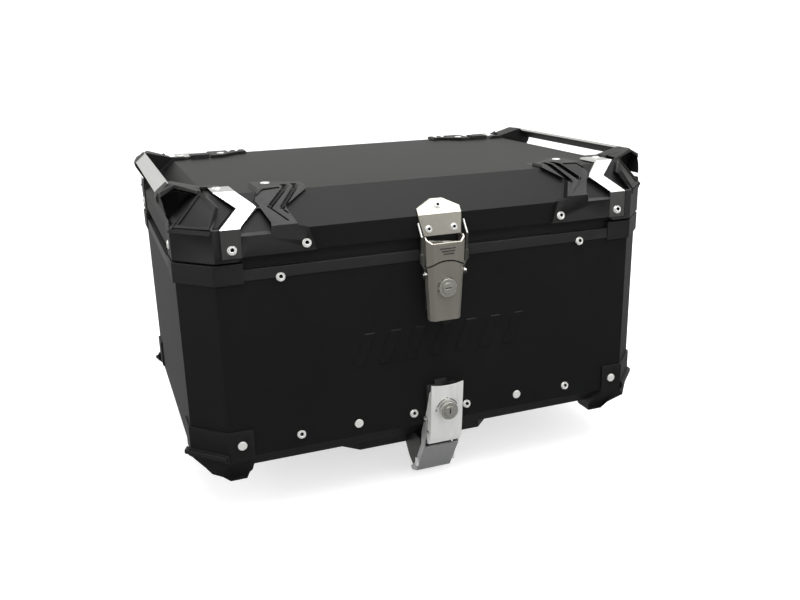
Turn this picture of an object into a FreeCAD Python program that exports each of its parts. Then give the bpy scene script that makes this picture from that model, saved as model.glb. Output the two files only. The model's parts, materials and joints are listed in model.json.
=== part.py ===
import FreeCAD, Part
import Sketcher
import math
import os

# Motorcycle top case: an aluminium tub with a hinged aluminium lid, plastic corner
# guards, a draw latch between lid and tub, and a claw latch that grips the mounting
# plate. Millimetres. The origin is the centre of the rack bolt pattern, on the plane
# where the rack spacers rest. +X is the right side, +Y the rear (hinges), +Z up.

os.makedirs("parts", exist_ok=True)
doc = FreeCAD.newDocument("top_case")
sheet = doc.addObject("Spreadsheet::Sheet", "Dims")

# ---------------------------------------------------------------- driving dimensions
DIMENSIONS = {
    # tub
    "half_width": 256,
    "half_depth": 176,
    "corner_leg": 32,
    "wall": 1.8,
    "foot_plane": 34,
    "floor_z": 49,
    "front_bevel_z": 73,
    "front_bevel_run": 29,
    "side_bevel_z": 66,
    "side_bevel_run": 20,
    "wall_top": 260,
    "mat_thickness": 3,
    # rim, upper corner guards and feet
    "rim_low": 252,
    "rim_high": 262.5,
    "rim_proud": 1,
    "rim_flange": 13,
    "guard_proud": 2.4,
    "guard_low": 249.6,
    "guard_high": 269.5,
    "guard_inner_x": 197.6,
    "guard_inner_y": 114,
    "foot_high": 101.7,
    "foot_inner_x": 200,
    "foot_inner_y": 118,
    # lid
    "lid_half_depth": 177,
    "lid_low": 275.5,
    "lid_crease": 297,
    "lid_top": 329.5,
    "lid_top_half_width": 220,
    "lid_top_half_depth": 152,
    "frame_setback": 4,
    "frame_width": 10,
    "frame_low": 264.5,
    "seal_low": 262.6,
    # lid corners, straps and grab bars
    "cover_crease": 301,
    "cover_proud": 3.5,
    "cover_side_set": 2.3,
    "cover_low": 272,
    "cover_inner_x": 127.5,
    "cover_inner_y": 114,
    "strap_proud": 3,
    "strap_base": 1.2,
    "ear_front": 131,
    "ear_back": 115,
    "bar_width": 15.4,
    "bar_thickness": 3,
    "bar_x": 256.5,
    "bar_z": 334.5,
    # hinges
    "hinge_y": 181.5,
    "hinge_z": 269,
    "hinge_x": 62,
    "hinge_width": 60,
    "barrel_radius": 4.5,
    "hinge_pin_radius": 2.5,
    "running_clearance": 0.05,
    # draw latch
    "handle_y": 190,
    "handle_z": 244,
    "bail_y": 189,
    "bail_z": 239,
    "bail_wire_radius": 1.1,
    "bail_x": 24.4,
    "bail_eye_x": 21.4,
    "latch_pin_radius": 1.6,
    "sheet_metal": 1.4,
    "lock_radius": 8.6,
    "plug_radius": 5.6,
    "upper_lock_z": 226,
    "lower_lock_z": 93.6,
    # claw latch
    "lever_y": 184,
    "lever_z": 66,
    "claw_y": 180.5,
    "claw_z": 79,
    "claw_pin_radius": 2,
    # mounting plate and rack fastening
    "plate_half_width": 89,
    "plate_front": 118,
    "plate_rear": 125,
    "plate_low": 25,
    "plate_high": 48.8,
    "plate_sheet": 3,
    "rack_bolt_x": 65,
    "rack_bolt_y": 45,
    "rack_bolt_radius": 4.2,
    "spacer_radius": 14,
    # fasteners
    "screw_head_radius": 5.25,
    "screw_head_height": 3,
    "screw_shank_radius": 3,
    "screw_socket_radius": 2.3,
}


class Size:
    """A length that knows its value and the spreadsheet expression that drives it."""

    def __init__(self, value, text):
        self.value = float(value)
        self.text = text

    def _joined(self, other, sign, value):
        return Size(value, "(%s %s %s)" % (self.text, sign, text_of(other)))

    def __add__(self, other):
        return self._joined(other, "+", self.value + value_of(other))

    def __sub__(self, other):
        return self._joined(other, "-", self.value - value_of(other))

    def __mul__(self, other):
        return self._joined(other, "*", self.value * value_of(other))

    def __truediv__(self, other):
        return self._joined(other, "/", self.value / value_of(other))

    def __radd__(self, other):
        return Size(value_of(other) + self.value, "(%s + %s)" % (text_of(other), self.text))

    def __rsub__(self, other):
        return Size(value_of(other) - self.value, "(%s - %s)" % (text_of(other), self.text))

    def __rmul__(self, other):
        return Size(value_of(other) * self.value, "(%s * %s)" % (text_of(other), self.text))

    def __neg__(self):
        return Size(-self.value, "(0 - %s)" % self.text)


def value_of(size):
    return size.value if isinstance(size, Size) else float(size)


def text_of(size):
    return size.text if isinstance(size, Size) else repr(float(size))


def root(size):
    return Size(math.sqrt(size.value), "sqrt(%s)" % size.text)


def bind(target, prop, size):
    """Drive a property of an object from the spreadsheet."""
    target.setExpression(prop, text_of(size))


for row, (alias, number) in enumerate(DIMENSIONS.items(), start=1):
    sheet.set("A%d" % row, alias)
    sheet.set("B%d" % row, str(number))
    sheet.setAlias("B%d" % row, alias)
doc.recompute()
D = {alias: Size(sheet.get(alias), "Dims." + alias) for alias in DIMENSIONS}

nodes = {}


def keep(name, solid):
    """Register an object as the sub-part called name."""
    solid.Label = name
    nodes[name] = solid
    return solid


# ---------------------------------------------------------------- modelling helpers
AXIS_OF_PLANE = {"XY_Plane": "Z", "XZ_Plane": "Y", "YZ_Plane": "X"}
NORMAL_SIGN = {"XY_Plane": 1, "XZ_Plane": -1, "YZ_Plane": 1}


def origin_plane(body, role):
    return next(feature for feature in body.Origin.OriginFeatures if feature.Role == role)


def outline(body, name, plane, points, offset):
    """Closed polygon sketch on an origin plane of body, moved by offset along its normal."""
    sketch = body.newObject("Sketcher::SketchObject", name)
    sketch.AttachmentSupport = [(origin_plane(body, plane), "")]
    sketch.MapMode = "FlatFace"
    bind(sketch, "AttachmentOffset.Base.z", offset)
    corners = [FreeCAD.Vector(value_of(u), value_of(v), 0) for u, v in points]
    count = len(corners)
    for index in range(count):
        sketch.addGeometry(Part.LineSegment(corners[index], corners[(index + 1) % count]), False)
    for index in range(count):
        sketch.addConstraint(Sketcher.Constraint("Coincident", index, 2, (index + 1) % count, 1))
    for index, point in enumerate(points):
        for kind, axis, size in (("DistanceX", -2, point[0]), ("DistanceY", -1, point[1])):
            if abs(value_of(size)) < 1e-9:
                sketch.addConstraint(Sketcher.Constraint("PointOnObject", index, 1, axis))
                continue
            number = sketch.addConstraint(Sketcher.Constraint(kind, index, 1, value_of(size)))
            bind(sketch, "Constraints[%d]" % number, size)
    return sketch


def prism(name, plane, points, low, high):
    """PartDesign body: a polygon padded from low to high along the plane's own axis."""
    body = doc.addObject("PartDesign::Body", name)
    start = low if NORMAL_SIGN[plane] > 0 else -1 * high
    sketch = outline(body, name + "_outline", plane, points, start)
    pad = body.newObject("PartDesign::Pad", name + "_pad")
    pad.Profile = sketch
    bind(pad, "Length", high - low)
    body.Tip = pad
    return body


def box(name, low, high):
    """Part::Box between two corners."""
    solid = doc.addObject("Part::Box", name)
    for axis, prop, start, end in zip("xyz", ("Length", "Width", "Height"), low, high):
        bind(solid, prop, end - start)
        bind(solid, "Placement.Base." + axis, start)
    return solid


TURNS = {
    "X": FreeCAD.Rotation(FreeCAD.Vector(0, 1, 0), 90),
    "Y": FreeCAD.Rotation(FreeCAD.Vector(1, 0, 0), -90),
    "Z": FreeCAD.Rotation(),
}


def rod(name, axis, radius, low, high, centre):
    """Part::Cylinder along X, Y or Z; centre gives the other two coordinates in order."""
    solid = doc.addObject("Part::Cylinder", name)
    solid.Placement = FreeCAD.Placement(FreeCAD.Vector(), TURNS[axis])
    bind(solid, "Radius", radius)
    bind(solid, "Height", high - low)
    others = [letter for letter in "XYZ" if letter != axis]
    bind(solid, "Placement.Base." + axis.lower(), low)
    for letter, size in zip(others, centre):
        bind(solid, "Placement.Base." + letter.lower(), size)
    return solid


def fuse(name, *solids):
    joined = doc.addObject("Part::MultiFuse", name)
    joined.Shapes = list(solids)
    joined.Refine = True
    return joined


def common(name, *solids):
    shared = doc.addObject("Part::MultiCommon", name)
    shared.Shapes = list(solids)
    return shared


def cut(name, base, *tools):
    """base minus every tool."""
    result = doc.addObject("Part::Cut", name)
    result.Base = base
    result.Tool = tools[0] if len(tools) == 1 else group(name + "_tools", *tools)
    result.Refine = True
    return result


def group(name, *solids):
    compound = doc.addObject("Part::Compound", name)
    compound.Links = list(solids)
    return compound


def mirrored(name, source, axis):
    """Mirror image of source across the plane through the origin square to axis."""
    image = doc.addObject("Part::Mirroring", name)
    image.Source = source
    image.Normal = FreeCAD.Vector(1, 0, 0) if axis == "X" else FreeCAD.Vector(0, 1, 0)
    return image


def both_sides(name, source):
    """One node holding source and its mirror image across the middle plane."""
    return group(name, source, mirrored(name + "_mirror", source, "X"))


# ---------------------------------------------------------------- case and lid envelopes
CHAMFER_GROWTH = 2 - math.sqrt(2)


def octagon(half_width, half_depth, grow):
    """Rectangle with 45 degree corners, every side moved outwards by grow."""
    wide = half_width + grow
    deep = half_depth + grow
    leg = D["corner_leg"] + grow * CHAMFER_GROWTH
    corners = []
    for x_sign, y_sign, along_x in (
        (1, -1, True), (1, -1, False), (1, 1, False), (1, 1, True),
        (-1, 1, True), (-1, 1, False), (-1, -1, False), (-1, -1, True),
    ):
        x = wide - leg if along_x else wide
        y = deep if along_x else deep - leg
        corners.append((x_sign * x, y_sign * y))
    return corners


def bevel_profile(half, grow, far_z, crease_z, flat_z, flat_half, outward):
    """Symmetric section: upright sides, a bevel from crease_z, and a flat at flat_z.

    outward is +1 when the flat faces up and -1 when it faces down.
    """
    run = half - flat_half
    rise = (flat_z - crease_z) * outward
    slope = root(run * run + rise * rise)
    crease = crease_z + outward * (grow * (slope - rise) / run)
    flat = flat_z + outward * grow
    edge = flat_half + grow * (slope - run) / rise
    side = half + grow
    return [(side, far_z), (side, crease), (edge, flat), (-edge, flat), (-side, crease), (-side, far_z)]


def tub_envelope(name, grow, high):
    """Outer form of the tub moved outwards by grow, up to the height high."""
    wide = D["half_width"]
    deep = D["half_depth"]
    reach = 400
    plan = prism(name + "_plan", "XY_Plane", octagon(wide, deep, grow), D["foot_plane"], high)
    front_flat = deep - D["front_bevel_run"]
    side_flat = wide - D["side_bevel_run"]
    front = bevel_profile(deep, grow, high, D["front_bevel_z"], D["floor_z"], front_flat, -1)
    side = bevel_profile(wide, grow, high, D["side_bevel_z"], D["floor_z"], side_flat, -1)
    low = Size(-reach, repr(float(-reach)))
    return common(
        name, plan,
        prism(name + "_front", "YZ_Plane", front, low, -1 * low),
        prism(name + "_side", "XZ_Plane", side, low, -1 * low),
    )


def lid_envelope(name, grow, low, crease=D["lid_crease"], side_set=0):
    """Outer form of the lid moved outwards by grow, from the height low.

    crease is where the bevels start; side_set moves both side walls inwards.
    """
    wide = D["half_width"] - side_set
    deep = D["lid_half_depth"]
    reach = 400
    top = D["lid_top"]
    plan = prism(name + "_plan", "XY_Plane", octagon(wide, deep, grow), low, top + grow)
    front = bevel_profile(deep, grow, low, crease, top, D["lid_top_half_depth"], 1)
    side = bevel_profile(wide, grow, low, crease, top, D["lid_top_half_width"] - side_set, 1)
    end = Size(-reach, repr(float(-reach)))
    return common(
        name, plan,
        prism(name + "_front", "YZ_Plane", front, end, -1 * end),
        prism(name + "_side", "XZ_Plane", side, end, -1 * end),
    )


def ring(name, half_depth, outer, inner, low, high):
    """Octagonal ring between two growths of the plan outline."""
    outside = prism(name + "_out", "XY_Plane", octagon(D["half_width"], half_depth, outer), low, high)
    inside = prism(name + "_in", "XY_Plane", octagon(D["half_width"], half_depth, inner), low, high)
    return cut(name, outside, inside)


def length(number):
    """A fixed length used in an expression."""
    return Size(number, repr(float(number)))


# ---------------------------------------------------------------- fasteners
# A station is a place on a wall and the direction in which the screw head faces.
FACING = {
    "front": FreeCAD.Vector(0, -1, 0), "rear": FreeCAD.Vector(0, 1, 0),
    "right": FreeCAD.Vector(1, 0, 0), "left": FreeCAD.Vector(-1, 0, 0),
    "up": FreeCAD.Vector(0, 0, 1), "down": FreeCAD.Vector(0, 0, -1),
}
LID_BEVEL = math.atan2(
    (D["lid_half_depth"] - D["lid_top_half_depth"]).value, (D["lid_top"] - D["lid_crease"]).value
)
FACING["bevel"] = FreeCAD.Vector(0, -math.cos(LID_BEVEL), math.sin(LID_BEVEL))
STRIKE_LOW = 277.7
STRIKE_LIP = 8.5
STRIKE_TILT = math.atan2(STRIKE_LIP - D["wall"].value, D["lid_crease"].value - STRIKE_LOW)
FACING["strike"] = FreeCAD.Vector(0, -math.cos(STRIKE_TILT), math.sin(STRIKE_TILT))

SHANK_LENGTH = 5
SOCKET_DEPTH = 2


def button_head(radius, height):
    """Domed head standing on the plane z = 0."""
    sphere_radius = (radius * radius + height * height) / (2 * height)
    ball = Part.makeSphere(sphere_radius, FreeCAD.Vector(0, 0, height - sphere_radius))
    return ball.common(Part.makeCylinder(radius, height))


def hexagon_prism(radius, depth):
    corners = [
        FreeCAD.Vector(radius * math.cos(math.radians(60 * k)), radius * math.sin(math.radians(60 * k)), 0)
        for k in range(7)
    ]
    return Part.Face(Part.makePolygon(corners)).extrude(FreeCAD.Vector(0, 0, depth))


def screw_shape(head_radius, head_height, shank_radius, socket_radius):
    """Button head screw; a socket radius of zero makes a plain rivet."""
    shape = button_head(head_radius, head_height)
    shape = shape.fuse(
        Part.makeCylinder(shank_radius, SHANK_LENGTH, FreeCAD.Vector(0, 0, -SHANK_LENGTH))
    )
    if socket_radius:
        socket = hexagon_prism(socket_radius, SOCKET_DEPTH + 1)
        socket.translate(FreeCAD.Vector(0, 0, head_height - SOCKET_DEPTH))
        shape = shape.cut(socket)
    return shape.removeSplitter()


def at_stations(shape, stations):
    copies = []
    for place, facing in stations:
        turn = FreeCAD.Rotation(FreeCAD.Vector(0, 0, 1), FACING[facing])
        copies.append(shape.transformGeometry(FreeCAD.Placement(place, turn).toMatrix()))
    return Part.makeCompound(copies)


def fasteners(name, stations, scale=1.0, socket=True):
    """Node of identical screws or rivets, one solid at each station."""
    feature = doc.addObject("Part::Feature", name)
    socket_radius = D["screw_socket_radius"].value * scale if socket else 0
    feature.Shape = at_stations(
        screw_shape(
            D["screw_head_radius"].value * scale, D["screw_head_height"].value * scale,
            D["screw_shank_radius"].value * scale, socket_radius,
        ),
        stations,
    )
    return keep(name, feature)


def bores(name, stations, scale=1.0):
    """Clearance holes for the shanks at the stations."""
    feature = doc.addObject("Part::Feature", name)
    radius = D["screw_shank_radius"].value * scale + 0.1
    depth = SHANK_LENGTH + 3
    hole = Part.makeCylinder(radius, depth, FreeCAD.Vector(0, 0, -SHANK_LENGTH - 1))
    feature.Shape = at_stations(hole, stations)
    return feature


def four_ways(x, y, z, facing):
    """The same station at the four corners; y is positive towards the front."""
    opposite = {"front": "rear", "up": "up", "down": "down"}
    stations = []
    for side in (-1, 1):
        stations.append((FreeCAD.Vector(side * x, -y, z), facing))
        stations.append((FreeCAD.Vector(side * x, y, z), opposite[facing]))
    return stations


def side_ways(x, y, z):
    """The same station on both side walls, front and rear."""
    return [
        (FreeCAD.Vector(side * x, end * y, z), "right" if side > 0 else "left")
        for side in (-1, 1) for end in (-1, 1)
    ]


# ---------------------------------------------------------------- tub
wide = D["half_width"]
deep = D["half_depth"]
lid_deep = D["lid_half_depth"]

RIM_SCREWS = four_ways(162.8, (deep + D["rim_proud"]).value, 252.4, "front")
ROW_SCREWS = four_ways(30.4, deep.value, 86.7, "front") + four_ways(152, deep.value, 86.7, "front")
ROW_RIVETS = four_ways(91.2, deep.value, 86.7, "front")
FOOT_RIVETS = four_ways(211.8, deep.value + 2.2, 86.7, "front")
PLATE_BOLTS = [
    (FreeCAD.Vector(x, y, 45.8), "down") for x in (-35, 35) for y in (-75, 85)
]


def case_shell():
    outer = tub_envelope("tub_outer", length(0), D["wall_top"])
    inner = tub_envelope("tub_inner", -1 * D["wall"], D["wall_top"] + 1)
    shell = cut("tub_bent", outer, inner)
    holes = bores("tub_bores", RIM_SCREWS + ROW_SCREWS + ROW_RIVETS + FOOT_RIVETS, 1.0)
    bolt_holes = bores("tub_bolt_bores", PLATE_BOLTS)
    return keep("case_shell", cut("shell", shell, holes, bolt_holes))


def case_rim():
    upright = ring("rim_upright", deep, D["rim_proud"], length(0), D["rim_low"], D["rim_high"])
    cap = ring(
        "rim_cap", deep, length(0), -1 * D["rim_flange"], D["wall_top"], D["rim_high"]
    )
    skirt = ring(
        "rim_skirt", deep, -1 * D["wall"], -1 * (D["wall"] + 2), D["rim_low"], D["wall_top"]
    )
    joined = fuse("rim_joined", upright, cap, skirt)
    return keep("case_rim", cut("rim", joined, bores("rim_bores", RIM_SCREWS)))


def guard_blank(name, grow, xz_points, yz_points, low, high):
    """Corner piece: the grown plan outline kept inside a front and a side outline."""
    reach = length(300)
    return common(
        name,
        prism(name + "_plan", "XY_Plane", octagon(wide, deep, grow), low, high),
        prism(name + "_xz", "XZ_Plane", xz_points, -1 * reach, length(0)),
        prism(name + "_yz", "YZ_Plane", yz_points, length(0), reach),
    )


def foot_guard():
    """Lower corner guard with the foot that stands below the tub floor."""
    grow = length(2.2)
    low = D["foot_plane"]
    high = D["foot_high"]
    x_in = D["foot_inner_x"]
    x_out = wide + grow
    y_out = -1 * (deep + grow)
    y_in = -1 * D["foot_inner_y"]
    front = [
        (x_in, high), (x_in, low + 13), (x_in + 3, low + 6.6), (x_in + 5, low),
        (x_in + 22, low), (x_out, D["side_bevel_z"] + 5), (x_out, high),
    ]
    side = [
        (y_out, high), (y_out, D["front_bevel_z"] - 2), (y_out + 28.2, low + 8),
        (y_out + 31.2, low), (y_in - 7, low), (y_in, low + 13), (y_in, high),
    ]
    blank = guard_blank("foot_blank", grow, front, side, low, high)
    ridge_low = D["side_bevel_z"] + 5
    ridge_high = ridge_low + 8
    x_ridge = x_in + 26
    y_ridge = y_in - 24
    ridge = guard_blank(
        "foot_ridge", grow + 2.4,
        [(x_ridge, ridge_low), (x_out + 9, ridge_low), (x_out + 9, ridge_high), (x_ridge, ridge_high)],
        [(y_ridge, ridge_low), (y_ridge, ridge_high), (y_out - 9, ridge_high), (y_out - 9, ridge_low)],
        ridge_low, ridge_high,
    )
    hollow = tub_envelope("foot_hollow", length(0), D["foot_high"] + 1)
    return cut("foot", fuse("foot_ridged", blank, ridge), hollow, bores("foot_bores", FOOT_RIVETS))


def upper_guard():
    """Corner guard round the rim, with a lip over the top of it."""
    grow = D["guard_proud"]
    low = D["guard_low"]
    high = D["guard_high"]
    front = [(D["guard_inner_x"], low), (wide + 10, low), (wide + 10, high), (D["guard_inner_x"], high)]
    y_in = -1 * D["guard_inner_y"]
    y_far = -1 * (deep + 10)
    side = [(y_in, low), (y_in, high), (y_far, high), (y_far, low)]
    blank = guard_blank("guard_blank", grow, front, side, low, high)
    rim_space = prism(
        "guard_rim_space", "XY_Plane", octagon(wide, deep, D["rim_proud"]), low - 1, D["rim_high"]
    )
    lid_space = prism(
        "guard_lid_space", "XY_Plane", octagon(wide, deep, length(-2.5)), low - 1, high + 1
    )
    return cut("guard", blank, rim_space, lid_space)


def at_four_corners(name, master):
    """Front right master and its three mirror images, each its own node."""
    keep(name + "_front_right", master)
    rear = keep(name + "_rear_right", mirrored(name + "_rr", master, "Y"))
    keep(name + "_front_left", mirrored(name + "_fl", master, "X"))
    keep(name + "_rear_left", mirrored(name + "_rl", rear, "X"))


def floor_mat():
    inset = D["wall"] + 1
    half_x = wide - D["side_bevel_run"] - inset
    half_y = deep - D["front_bevel_run"] - inset
    low = D["floor_z"] + D["wall"]
    plan = [(half_x, -half_y), (half_x, half_y), (-half_x, half_y), (-half_x, -half_y)]
    mat = prism("mat", "XY_Plane", plan, low, low + D["mat_thickness"])
    holes = [
        rod("mat_hole_%d" % index, "Z", length(7), low - 1, low + 5, (length(place.x), length(place.y)))
        for index, (place, facing) in enumerate(PLATE_BOLTS)
    ]
    return keep("floor_mat", cut("mat_drilled", mat, *holes))


# ---------------------------------------------------------------- lid
STRAP_SCREWS = four_ways(206.5, lid_deep.value + D["strap_proud"].value, 283, "front")
LEG_SCREWS = four_ways(136.6, lid_deep.value + D["cover_proud"].value, 283, "front")
SIDE_SCREWS = side_ways((wide + D["cover_proud"] - D["cover_side_set"]).value, 128, 283)
TOP_RIVETS = four_ways(161.2, 127.3, (D["lid_top"] + D["cover_proud"]).value, "up")
STRAP_TOP_SCREWS = four_ways(209, 132, (D["lid_top"] + D["strap_proud"]).value, "up")
STRIKE_SCREW_Z = 284
STRIKE_SCREW_Y = D["wall"].value + (D["lid_crease"].value - STRIKE_SCREW_Z) * math.tan(STRIKE_TILT)
STRIKE_SCREW_XS = (-14, 13.2)
STRIKE_SCREWS = [
    (FreeCAD.Vector(x, -lid_deep.value - STRIKE_SCREW_Y - 0.05, STRIKE_SCREW_Z), "strike")
    for x in STRIKE_SCREW_XS
]
BEVEL_SCREW_UP = 9
STRIKE_BEVEL_SCREW = [(
    FreeCAD.Vector(0, -lid_deep.value, D["lid_crease"].value)
    + BEVEL_SCREW_UP * FreeCAD.Vector(0, math.sin(LID_BEVEL), math.cos(LID_BEVEL))
    + (D["wall"].value + 0.05) * FACING["bevel"],
    "bevel",
)]


def lid_shell():
    outer = lid_envelope("lid_outer", length(0), D["lid_low"])
    inner = lid_envelope("lid_inner", -1 * D["wall"], D["lid_low"] - 1)
    bent = cut("lid_bent", outer, inner)
    stations = STRAP_SCREWS + LEG_SCREWS + SIDE_SCREWS + TOP_RIVETS + STRAP_TOP_SCREWS
    strike_holes = bores("lid_strike_bores", STRIKE_SCREWS + STRIKE_BEVEL_SCREW, 0.8)
    return keep("lid_shell", cut("lid_drilled", bent, bores("lid_bores", stations), strike_holes))


def lid_frame():
    """Plastic frame inside the lid skirt; its lower part shows as the recessed band."""
    back = -1 * (D["frame_setback"] + D["frame_width"])
    band = ring("frame_band", lid_deep, -1 * D["frame_setback"], back, D["frame_low"], D["lid_low"])
    top = ring("frame_top", lid_deep, -1 * D["wall"] - 0.1, back, D["lid_low"], D["lid_low"] + 3)
    return keep("lid_frame", fuse("frame", band, top))


def lid_seal():
    outer = -1 * (D["frame_setback"] + 1)
    inner = -1 * (D["frame_setback"] + D["frame_width"] - 1)
    return keep("lid_seal", ring("seal", lid_deep, outer, inner, D["seal_low"], D["frame_low"]))


def strap_outline(margin):
    """Front view of a strap: upright leg, then a chevron up the bevel, then a top flange."""
    low = D["cover_low"] + 3 - margin
    crease = D["cover_crease"] + 2
    vertex_z = D["cover_crease"] + 17.6
    top = D["lid_top"] + 6
    return [
        (197.3 - margin, low), (216 + margin, low), (216 + margin, crease),
        (197.2 + margin, vertex_z), (219.5 + margin, top), (199.5 - margin, top),
        (178.6 - margin, vertex_z), (197.3 - margin, crease),
    ]


def strap(name, outer, inner, margin, rear_y):
    """Bent strap lying between two growths of the lid envelope."""
    points = [(length(u), v) for u, v in strap_outline(margin)]
    band = prism(name + "_band", "XZ_Plane", points, length(-300), rear_y)
    skin = cut(
        name + "_skin",
        lid_envelope(name + "_outer", outer, D["cover_low"], D["cover_crease"]),
        lid_envelope(name + "_inner", inner, D["cover_low"] - 1, D["cover_crease"]),
    )
    return common(name, band, skin)


def corner_strap():
    body = strap("strap", D["strap_proud"], D["strap_base"], 0, length(-123))
    return cut("strap_drilled", body, bores("strap_bores", STRAP_SCREWS + STRAP_TOP_SCREWS))


def grab_bar_blank(name, half_length, clearance):
    """Flat bar along Y whose face is tilted by 40 degrees, up and outwards."""
    tilt = math.radians(-50)
    half_w = D["bar_width"].value / 2 + clearance
    half_t = D["bar_thickness"].value / 2 + clearance
    points = []
    for u, v in ((-half_w, -half_t), (half_w, -half_t), (half_w, half_t), (-half_w, half_t)):
        points.append((
            D["bar_x"] + (u * math.sin(-tilt) + v * math.cos(tilt)),
            D["bar_z"] + (-u * math.cos(tilt) + v * math.sin(-tilt)),
        ))
    return prism(name, "XZ_Plane", points, -1 * half_length, half_length)


def lid_corner():
    """Plastic corner cover: skirt legs, sloped corner, chevron and the ear for the bar."""
    grow = D["cover_proud"]
    low = D["cover_low"]
    x_in = D["cover_inner_x"]
    top = D["lid_top"]
    crease = D["cover_crease"]
    skin = cut(
        "cover_skin",
        lid_envelope("cover_outer", grow, low, crease, D["cover_side_set"]),
        lid_envelope("cover_inner", length(0), low - 1),
    )
    y_in = -1 * D["cover_inner_y"]
    leg = [
        (x_in, D["lid_low"]), (length(197), D["lid_low"]), (length(202), low), (wide + 10, low),
        (wide + 10, top + 10), (length(219), top + 10), (length(181), top - 10), (length(170), top + 10),
        (length(131), top + 10), (x_in, top + 1), (length(152), top - 12.5), (length(143), crease - 0.5),
        (x_in + 6, crease - 3),
    ]
    front = common(
        "cover_front", skin,
        prism("cover_front_view", "XZ_Plane", leg, length(-300), y_in),
        prism(
            "cover_front_side", "YZ_Plane",
            [(y_in, low), (y_in, top + 10), (length(-300), top + 10), (length(-300), low)],
            length(0), length(300),
        ),
    )
    ear_points = [
        (length(226), crease + 8), (wide + 1.2, crease - 2.5), (wide + 8.3, crease + 27.2),
        (wide + 6.8, crease + 31), (wide - 3, crease + 39), (wide - 8, crease + 39.3),
        (length(224), top + 4.5), (length(214), top + 2),
    ]
    ear = prism("ear", "XZ_Plane", ear_points, -1 * D["ear_front"], -1 * D["ear_back"])
    solid = cut(
        "cover_trimmed", fuse("cover_with_ear", front, ear),
        lid_envelope("ear_inner", length(0), low - 2),
        strap("strap_slot", grow + 3, D["strap_base"], 0.2, length(-122.8)),
        grab_bar_blank("bar_slot", D["ear_front"] - 6, 0.05),
    )
    stations = LEG_SCREWS + SIDE_SCREWS + TOP_RIVETS + STRAP_SCREWS + STRAP_TOP_SCREWS
    return cut("cover_drilled", solid, bores("cover_bores", stations))


def grab_bar():
    return grab_bar_blank("bar", D["ear_front"] - 6, 0)


# ---------------------------------------------------------------- hinges
def knuckle(name, start, end, bore_radius):
    """Barrel around the hinge axis with the hole for the pin."""
    centre = (D["hinge_y"], D["hinge_z"])
    barrel = rod(name + "_barrel", "X", D["barrel_radius"], start, end, centre)
    hole = rod(name + "_hole", "X", bore_radius, start - 1, end + 1, centre)
    return barrel, hole


def hinge_leaf(name, plate_points, web_points, spans, bore_radius):
    start = D["hinge_x"]
    plate = prism(name + "_plate", "YZ_Plane", plate_points, start, start + D["hinge_width"])
    solids = [plate]
    holes = []
    for index, (left, right) in enumerate(spans):
        low = start + left
        high = start + right
        barrel, hole = knuckle("%s_knuckle_%d" % (name, index), low, high, bore_radius)
        web = prism("%s_web_%d" % (name, index), "YZ_Plane", web_points, low, high)
        solids += [barrel, web]
        holes.append(hole)
    return cut(name, fuse(name + "_solid", *solids), *holes)


def case_hinge_leaves():
    back = deep
    y = D["hinge_y"]
    z = D["hinge_z"]
    rim = D["rim_proud"]
    plate = [
        (back, length(222)), (back + 2.6, length(222)), (back + 2.6, D["rim_high"] + 1),
        (back + rim, D["rim_high"] + 1), (back + rim, D["rim_low"] - 0.5), (back, D["rim_low"] - 0.5),
    ]
    web = [(back + rim, D["rim_high"] - 2), (back + 2.6, D["rim_high"] - 2), (y + 3, z), (y - 3, z)]
    leaf = hinge_leaf("case_leaf", plate, web, ((0, 19.8), (40.2, 60)), D["hinge_pin_radius"])
    return keep("case_hinge_leaves", both_sides("case_leaves", leaf))


def lid_hinge_leaves():
    back = lid_deep
    y = D["hinge_y"]
    z = D["hinge_z"]
    plate = [
        (back, D["lid_low"] + 0.5), (back + 2, D["lid_low"] + 0.5), (back + 2, D["lid_crease"] - 4),
        (back, D["lid_crease"] - 4),
    ]
    web = [(back + 0.2, z), (y, z), (y, z + 4), (back + 2, D["lid_low"] + 4), (back, D["lid_low"] + 4)]
    bore = D["hinge_pin_radius"] + D["running_clearance"]
    leaf = hinge_leaf("lid_leaf", plate, web, ((20.2, 39.8),), bore)
    return keep("lid_hinge_leaves", both_sides("lid_leaves", leaf))


def hinge_pins():
    start = D["hinge_x"] - 1
    end = D["hinge_x"] + D["hinge_width"] + 1
    pin = rod("hinge_pin", "X", D["hinge_pin_radius"], start, end, (D["hinge_y"], D["hinge_z"]))
    return keep("hinge_pins", both_sides("pins", pin))


# ---------------------------------------------------------------- draw latch
def tapered_channel(name, low, high, section_low, section_high):
    """Folded channel, lofted between a lower and an upper section; open to the rear.

    A section is (front half width, outer half width, front y, shoulder y, rear y).
    """
    sections = []
    for inset in (0, D["sheet_metal"].value):
        loft = doc.addObject("Part::Loft", "%s_loft_%d" % (name, len(sections)))
        sketches = []
        for z, section in ((low, section_low), (high, section_high)):
            front_x, outer_x, front_y, shoulder_y, rear_y = section
            nose = front_x - 0.4 * inset
            side = outer_x - inset
            back = rear_y + (1 if inset else 0)
            points = [
                (side, back), (side, shoulder_y + 0.6 * inset), (nose, front_y + inset),
                (-nose, front_y + inset), (-side, shoulder_y + 0.6 * inset), (-side, back),
            ]
            holder = doc.addObject("PartDesign::Body", "%s_section_%d" % (name, len(doc.Objects)))
            drawn = [(length(u), length(v)) for u, v in points]
            sketches.append(outline(holder, holder.Name + "_outline", "XY_Plane", drawn, z))
        loft.Sections = sketches
        loft.Solid = True
        loft.Ruled = True
        sections.append(loft)
    return cut(name, *sections)


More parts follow.
